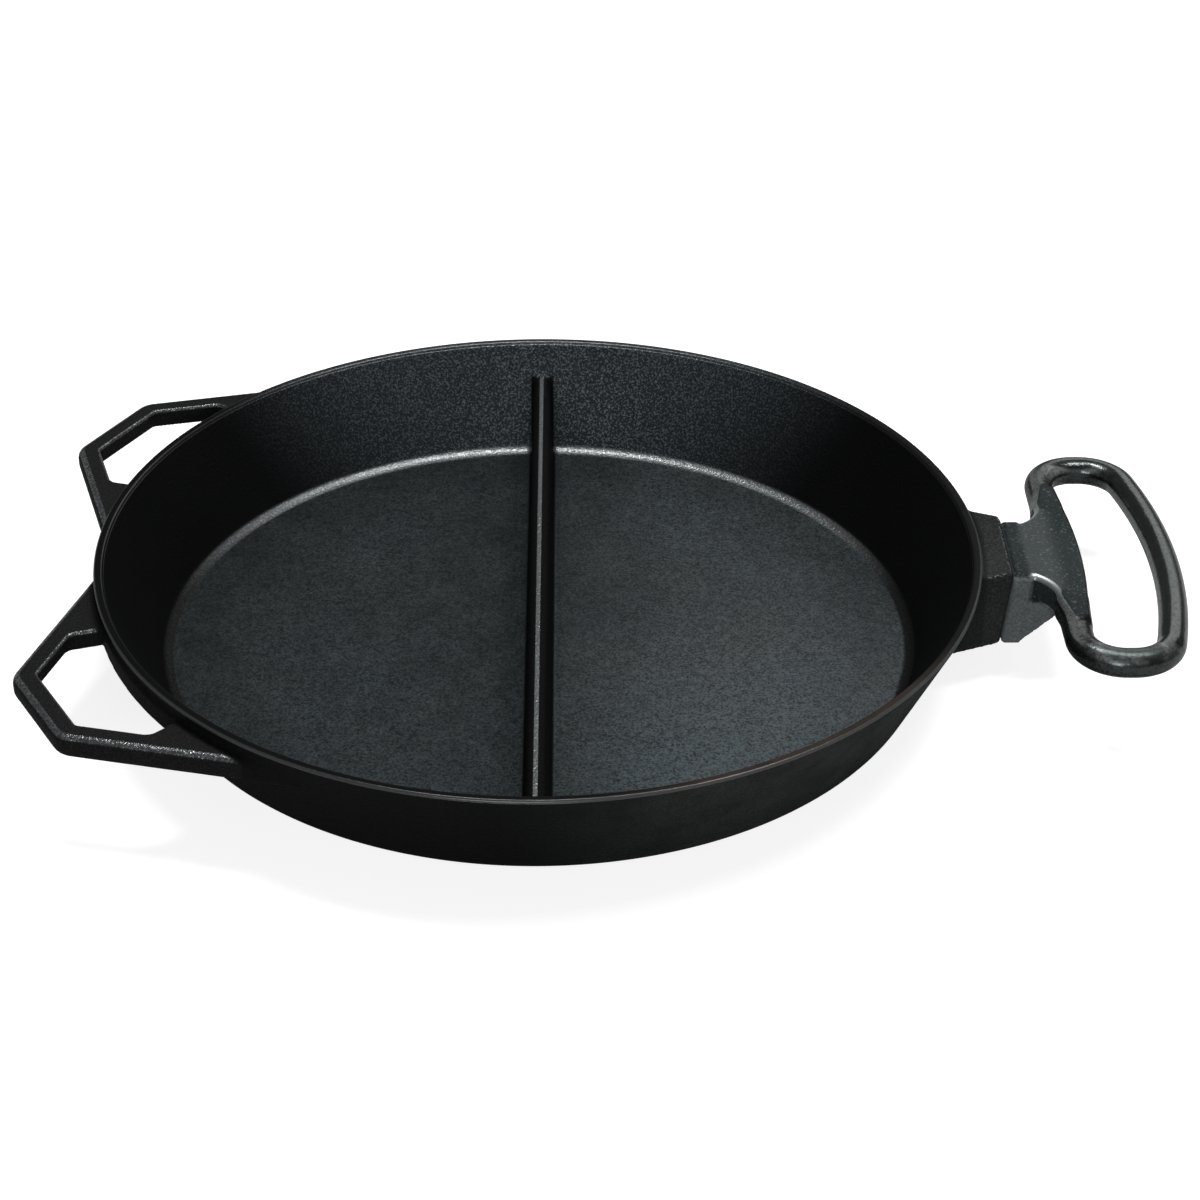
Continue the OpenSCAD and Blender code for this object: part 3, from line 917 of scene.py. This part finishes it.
def pan_iron():
    """Seasoned black iron: dull and pebbled, with a mottled floor, and painted light: highlights
    on the edges, rim, divider crest and floor cove, a lighter back wall with glints, and a floor
    lighter towards the right and near side.
    """
    finish = Finish("seasoned_pan_iron")
    rise, spread, mix = finish.rise, finish.spread, finish.mix
    point, (x, y, z) = finish.place()
    radius = finish.node("ShaderNodeMath", {"operation": "SQRT"}, {0: x * x + y * y})
    grain = pebbles(finish, point, 1.5 * MM)
    fine = finish.noise(point, 1 / (1.1 * MM), 1.0)
    speckle = finish.step(fine, 0.46, 0.66)
    mottle = finish.noise(point, 1 / (4 * MM), 2.0)
    patch = finish.noise(point, 45.0, 5.0, 0.65)
    blotch = finish.noise(point, 14.0, 3.0)

    # Parts of the bowl
    foot_r = radius - z * WALL_RUN
    bowl = rise(foot_r, INSIDE_R)
    outside = rise(foot_r, OUTSIDE_R)
    curve = rise(radius, CURVE_R) * rise(z, CURVE_LEVEL) * bowl
    floor = rise(z, FLOOR_LEVEL) * bowl * (1 - curve)
    clear_of_divider = finish.either(spread(x, BESIDE_DIVIDER), rise(z, ABOVE_DIVIDER))
    wall = bowl * rise(radius, WALL_FOOT_R) * (1 - curve) * clear_of_divider
    rim = rise(z, RIM_LEVEL)
    rim_top = rise(z, RIM_TOP_LEVEL)
    # The rim's rounded edges, where painted highlights go: a glossy line, a metallic one on the
    # outer rounding, and faint gloss on the rim's top
    round_rim = rim * (1 - rim_top)
    # Painted highlight along the divider's crest, a little off its middle, fading at its ends
    crest_highlight = spread(x + CREST_X * MM, CREST_HALF) * rise(z, CREST_LEVEL)
    crest_highlight = crest_highlight * rise(radius, CREST_END_R)
    middle = spread(x, MIDDLE_HALF) * rise(radius, MIDDLE_R)
    right = rise(x, RIGHT_X)
    near = rise(y, NEAR_Y)
    back_wall = wall * rise(y, BACK_Y)

    # Lugs and boss, and painted highlights along their top edges
    beyond = rise(radius, BEYOND_RIM_R)
    lugs = beyond * rise(x, LUG_SIDE_X)
    # Painted highlight bands along the lugs' top edges, speckled, and along the boss's top edge
    edge = lugs * rise(z, LUG_EDGE_TOP) * rise(z, LUG_EDGE_FOOT) * (0.4 + speckle * 0.6)
    boss_edge_highlight = beyond * (1 - lugs) * rise(z, BOSS_EDGE_TOP) * rise(z, BOSS_EDGE_FOOT)
    edge = edge + boss_edge_highlight * speckle * 0.7

    colour = mix(blotch, PAN_BLACK, PAN_DARK)
    colour = mix(outside * (0.1 + fine * 0.8), colour, OUTSIDE_DARK)
    # Painted light: the back wall, which faces the front lamp, is lighter and speckled, and its
    # speckles get painted glints in shine
    colour = mix(back_wall * (0.20 + speckle * 0.5), colour, BACK_WALL_LIT_BLUE)
    colour = mix(beyond * (0.4 + speckle * 0.6) * (0.6 - lugs * 0.35), colour, LUG_GREY)
    # Lighter, speckled grey patches on the near right of the outside wall
    outside_near_right = outside * right * rise(y, OUTSIDE_NEAR_Y)
    colour = mix(outside_near_right * patch * (0.1 + fine), colour, OUTSIDE_GREY)
    # Floor tone: random patches and lighter middles of each half, darker towards the floor's
    # edge, with painted light that makes it lighter towards the right and the near side
    tone_and_painted_light = 0.05 + patch * 0.26 + middle * 0.05 + right * (0.12 + near * 0.24) + near * 0.10
    tone_and_painted_light = tone_and_painted_light * (fine * 4.4 + mottle * 1.2 - 1.8) * (1 - rise(radius, FLOOR_MARGIN_R) * 0.2)
    colour = mix(floor * tone_and_painted_light, colour, mix(blotch, FLOOR_BLUE, FLOOR_GREY))
    worn_rim = rim * rise(x, RIM_WORN_RIGHT) * rise(y, RIM_WORN_NEAR)
    colour = mix(worn_rim * patch, colour, RIM_BROWN)

    # Painted highlight on the cove between floor and wall: strongest at the back, faint at the
    # sides
    curve = curve * (0.14 + rise(y, CURVE_LIT) * 0.86)
    shine = curve * (0.55 + speckle * 0.45) + round_rim * 0.42 + rim_top * 0.04
    shine = shine + crest_highlight * 0.8 + edge + back_wall * speckle * 0.28
    # More gloss on the floor's patches, and painted sheen towards its right
    shine = shine + floor * (0.04 + patch * 0.16 + right * 0.12)
    # Metallic light grey that paints highlights on the cove, the outer rim rounding, the
    # divider's crest and the lug and boss edges
    painted_highlight = curve * 0.62 + round_rim * rise(radius, RIM_OUTER_R) * 0.4
    painted_highlight = painted_highlight + crest_highlight * 0.5 + edge * 0.8
    height = (grain * 0.7 + fine * 0.3) * (1 - floor * 0.6) * (1 - curve * 0.35)
    skin_bump = finish.bump(height * (1 - rim * 0.8), 0.8 * MM)
    dull = finish.shader(
        {
            "Base Color": colour,
            "Roughness": 0.70,
            "Normal": skin_bump,
            "Specular IOR Level": 0.04,
        }
    )
    glossy = finish.shader(
        {
            "Base Color": mix(painted_highlight, colour, PAN_HIGHLIGHT_GREY),
            "Metallic": painted_highlight,
            "Roughness": 0.24 + blotch * 0.06 + floor * 0.16 + curve * 0.08,
            "Normal": skin_bump,
            "Specular IOR Level": 1.0,
        }
    )
    return finish.surface(finish.blend(shine, dull, glossy))


# The handle's colours, as linear red, green and blue
LOOP_BLACK = (0.0018, 0.002, 0.002)
LOOP_DARK = (0.006, 0.0075, 0.0075)
PLATE_GREY = (0.024, 0.034, 0.035)
# Lit grey painted on the rough castings' side faces
SIDE_LIT_GREY = (0.155, 0.172, 0.172)
SPECK_GREY = (0.16, 0.17, 0.17)
# Light metallic grey that paints the handle's highlights
HANDLE_HIGHLIGHT_GREY = (0.50, 0.52, 0.52)

# Where a part of the handle's surface begins and where it is full, in millimetres
PLATE_LEVEL = (NECK_Z - 0.6, NECK_Z - 0.2)
SIDE_LEVEL = (NECK_Z - 0.6, NECK_Z - 1.6)
JOINT_PART_X = (271, 262)
JOINT_PART_HALF = (47, 41)
NECK_SIDE_X = (253.5, 255.0)
NECK_SIDE_LEVEL = (NECK_FOOT_Z - 0.5, NECK_FOOT_Z + 1.5)
NECK_EDGE_TOP = (NECK_Z - 0.1, NECK_Z - 0.4)
NECK_EDGE_FOOT = (NECK_Z - 3.5, NECK_Z - 2.5)
NECK_EDGE_START_X = (251, 254)
NECK_EDGE_END_X = (274, 264)
NEAR_BAR_Y = (-87.5, -90.0)
FAR_BAR_Y = (90.5, 87.0)
FAR_BAR_START_Y = (72, 82)
FAR_BAR_END_X = (312, 296)
CROWN_LEVEL = (BAR_Z + 2.0, BAR_Z + 4.8)
CROWN_START_X = (270, 284)
BACK_BAR_X = (288, 272)
UNDERSIDE_LEVEL = (BAR_Z + 3, BAR_Z - 4)


def handle_iron():
    """The handle's iron: a grey speckled plate and a darker, smoother loop, with painted
    highlights on the neck's top edge and the loop's bends, painted light on the rough side
    faces, and painted shade that dulls the loop's underside and back bars.
    """
    finish = Finish("handle_iron_painted_light")
    rise, mix = finish.rise, finish.mix
    point, (x, y, z) = finish.place()
    grain = pebbles(finish, point, 1.6 * MM)
    fine = finish.noise(point, 1 / (1.3 * MM), 2.0)
    speck = finish.step(fine, 0.60, 0.72)
    pit = finish.step(fine, 0.50, 0.34)
    blotch = finish.noise(point, 30.0, 4.0, 0.6)

    # The rough castings near the joint, and the smooth loop
    by_joint = rise(x, JOINT_PART_X) * finish.spread(y, JOINT_PART_HALF)
    rough = finish.either(by_joint, rise(z, PLATE_LEVEL))
    smooth = 1 - rough
    # Painted highlight band along the neck plate's top edge
    edge = rise(z, NECK_EDGE_TOP) * rise(z, NECK_EDGE_FOOT)
    edge = edge * rise(x, NECK_EDGE_START_X) * rise(x, NECK_EDGE_END_X)
    # Painted light: the rough castings' side faces are lighter grey as the front lamp lights
    # them; the neck's side under the plate stays dark as shade
    neck_side = rise(x, NECK_SIDE_X) * rise(z, NECK_SIDE_LEVEL)
    side = rough * rise(z, SIDE_LEVEL) * (1 - edge) * (1 - neck_side * 0.9)
    far_bar = rise(y, FAR_BAR_Y) * rise(y, FAR_BAR_START_Y) * rise(x, FAR_BAR_END_X)
    ends = rise(y, NEAR_BAR_Y) + far_bar
    # Painted highlight patches on top of the loop's bends
    crown = ends * rise(z, CROWN_LEVEL) * rise(x, CROWN_START_X)
    back_bar = smooth * rise(x, BACK_BAR_X)
    underside = smooth * rise(z, UNDERSIDE_LEVEL)

    colour = mix(blotch, LOOP_BLACK, LOOP_DARK)
    colour = mix(rough * (0.05 + blotch * 0.9) * (0.3 + fine * 1.3), colour, PLATE_GREY)
    colour = mix(side * (0.2 + fine), colour, SIDE_LIT_GREY)
    colour = mix(speck * (0.10 + rough * 0.35), colour, SPECK_GREY)

    # Metallic light grey that paints highlights on the neck's top edge and in patches on the
    # loop's bends
    painted_highlight = edge * 0.8 + crown * finish.step(blotch, 0.34, 0.60) * (0.3 + fine) * 0.9
    # Less gloss on the rough castings, except the painted edge highlight; the loop's underside
    # and back bars dulled as painted shade, so no reflection lights them
    shine = 1 - rough * (1 - edge) * 0.94 - underside * 0.55 - back_bar * 0.45
    shine = shine - pit * smooth * 0.35
    skin_bump = finish.bump(grain * (1 - edge * 0.8), 0.16 * MM)
    dull = finish.shader(
        {
            "Base Color": colour,
            "Roughness": 0.60,
            "Normal": skin_bump,
            "Specular IOR Level": 0.04,
        }
    )
    glossy = finish.shader(
        {
            "Base Color": mix(painted_highlight, colour, HANDLE_HIGHLIGHT_GREY),
            "Metallic": painted_highlight,
            "Roughness": 0.15 + blotch * 0.14 + edge * 0.20 + crown * 0.18,
            "Normal": skin_bump,
            "Specular IOR Level": 0.9,
            "Specular Tint": (0.80, 0.90, 0.88, 1),
        }
    )
    return finish.surface(finish.blend(shine, dull, glossy))


BOLT_DARK = (0.06, 0.06, 0.065)
BOLT_GREY = (0.12, 0.12, 0.125)


def bolt_steel():
    """Dark oxide steel with turned faces."""
    finish = Finish("dark_bolt_steel")
    point, _ = finish.place()
    blotch = finish.noise(point, 300.0, 3.0)
    shader = finish.shader(
        {
            "Base Color": finish.mix(blotch, BOLT_DARK, BOLT_GREY),
            "Metallic": 1.0,
            "Roughness": 0.34 + blotch * 0.12,
            "Normal": finish.bump(finish.noise(point, 2500.0, 1.0), 0.03 * MM),
        }
    )
    return finish.surface(shader)


# How white the paper shows to the camera, and in what mirrors it
PAPER_SEEN = 0.82
PAPER_MIRRORED = 0.10
PAPER_GREY = (0.50, 0.50, 0.50, 1)
WHITE = (1, 1, 1, 1)


def floor_paper():
    """White paper: it shows white to the camera and keeps the pan's shadow."""
    finish = Finish("white_paper")
    path = "ShaderNodeLightPath"
    seen = finish.node(path, None, None, "Is Camera Ray")
    mirrored_in = finish.node(path, None, None, "Is Glossy Ray")
    through = finish.node(path, None, None, "Is Transmission Ray")
    shader = finish.shader(
        {
            "Base Color": PAPER_GREY,
            "Roughness": 0.9,
            "Specular IOR Level": 0.0,
            "Emission Color": WHITE,
            "Emission Strength": seen * PAPER_SEEN
            + finish.either(mirrored_in, through) * PAPER_MIRRORED,
        }
    )
    return finish.surface(shader)


# Camera, lights and floor

# Each lamp's place, what it faces, its width and height, all in metres, and its power in watts
LAMPS = {
    "overhead": ((-0.05, 0.30, 1.5), (0, 0, 0), (0.60, 0.26), 16),
    "over_handle": ((0.62, 0.08, 1.5), (0.3, 0, 0), (0.45, 0.32), 8),
    "back_right": ((0.95, 1.7, 1.15), (0.15, 0, 0), (1.5, 0.9), 6.5),
    "front": ((-0.25, -2.2, 0.75), (0, 0, 0), (0.9, 0.5), 16),
}
SKY_STRENGTH = 0.12
# Half the floor's width, in metres
FLOOR_REACH = 40.0


def camera():
    """The photograph's view."""
    turn, down, roll = CAMERA_TURN, CAMERA_DOWN, CAMERA_ROLL
    level = math.cos(down)
    ahead = Vector((math.sin(turn) * level, math.cos(turn) * level, -math.sin(down)))
    right = Vector((math.cos(turn), -math.sin(turn), 0))
    up = right.cross(ahead)
    rolled_right = math.cos(roll) * right + math.sin(roll) * up
    rolled_up = -math.sin(roll) * right + math.cos(roll) * up
    aim = Matrix((rolled_right, rolled_up, -ahead)).transposed().to_4x4()
    data = bpy.data.cameras.new("camera")
    data.sensor_width = SENSOR_MM
    data.lens = LENS_MM
    made = bpy.data.objects.new("camera", data)
    bpy.context.scene.collection.objects.link(made)
    made.matrix_world = Matrix.Translation(CAMERA_PLACE) @ aim
    bpy.context.scene.camera = made
    bpy.context.scene.view_settings.view_transform = "Standard"


def lamp(name, place, target, size, power):
    """A plain white rectangular lamp."""
    data = bpy.data.lights.new(name, "AREA")
    data.shape = "RECTANGLE"
    data.size, data.size_y = size
    data.energy = power
    made = bpy.data.objects.new(name, data)
    made.location = place
    aim = Vector(target) - Vector(place)
    made.rotation_euler = aim.to_track_quat("-Z", "Y").to_euler()
    bpy.context.scene.collection.objects.link(made)


def studio():
    """Two lamps overhead, a wide one behind on the right, a low one in front, and the floor."""
    for name, facts in LAMPS.items():
        lamp(name, *facts)
    world = bpy.data.worlds.new("world")
    world.use_nodes = True
    bpy.context.scene.world = world
    sky = world.node_tree.nodes["Background"]
    sky.inputs["Color"].default_value = WHITE
    sky.inputs["Strength"].default_value = SKY_STRENGTH

    mesh = bpy.data.meshes.new("floor")
    signs = ((-1, -1), (1, -1), (1, 1), (-1, 1))
    corners = [(i * FLOOR_REACH, j * FLOOR_REACH, 0) for i, j in signs]
    mesh.from_pydata(corners, [], [(0, 1, 2, 3)])
    mesh.materials.append(floor_paper())
    floor = bpy.data.objects.new("floor", mesh)
    bpy.context.scene.collection.objects.link(floor)


# The pieces

# The box that each casting's surface is looked for in, and the size of its faces
DIVIDER_SPACE = ((-16.2, -RIM_R, 1.2), (16.2, RIM_R, DIVIDER_Z + 12), 1.25)
LUG_SPACE = ((160, -124, LUG_Z - LUG_T - 12), (RIM_R + LUG_OUT + 3, 124, LUG_Z + 10), 1.5)
BOSS_SPACE = ((200, -62, BOSS_FOOT_Z - 10), (JOINT_X + 4, 62, PAN_H + 6), 1.0)
LOOP_SPACE = (
    (232, -106, BOSS_FOOT_Z - 3),
    (GRIP_X + BAR_D / 2 + 3, 106, BAR_Z + BAR_D / 2 + 3),
    1.1,
)


def build():
    """The scene, with each piece in place of its node."""
    camera()
    studio()
    iron = pan_iron()

    divider = skin(divider_shape, *DIVIDER_SPACE)
    lug_points, lug_quads = skin(lug_shape, *LUG_SPACE)
    boss = skin(boss_shape, *BOSS_SPACE)
    angles = [180 - LUG_ANGLE, 180 + LUG_ANGLE]
    lugs = [(turned(lug_points, angle), lug_quads) for angle in angles]
    cast = mesh_of("cast_parts", [divider, boss] + lugs, iron)
    pan = piece("pan", joined("pan", [bowl_mesh(iron), cast]))
    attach(pan, "root")
    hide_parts("pan_casting")

    loop = skin(handle_shape, *LOOP_SPACE)
    handle = piece("loop_handle", mesh_of("loop_handle", [loop], handle_iron()))
    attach(handle, "root")
    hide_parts("handle_casting")

    bolts = piece("bolts", bolts_mesh(bolt_steel()))
    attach(bolts, "root")
    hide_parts("handle_bolts")


build()
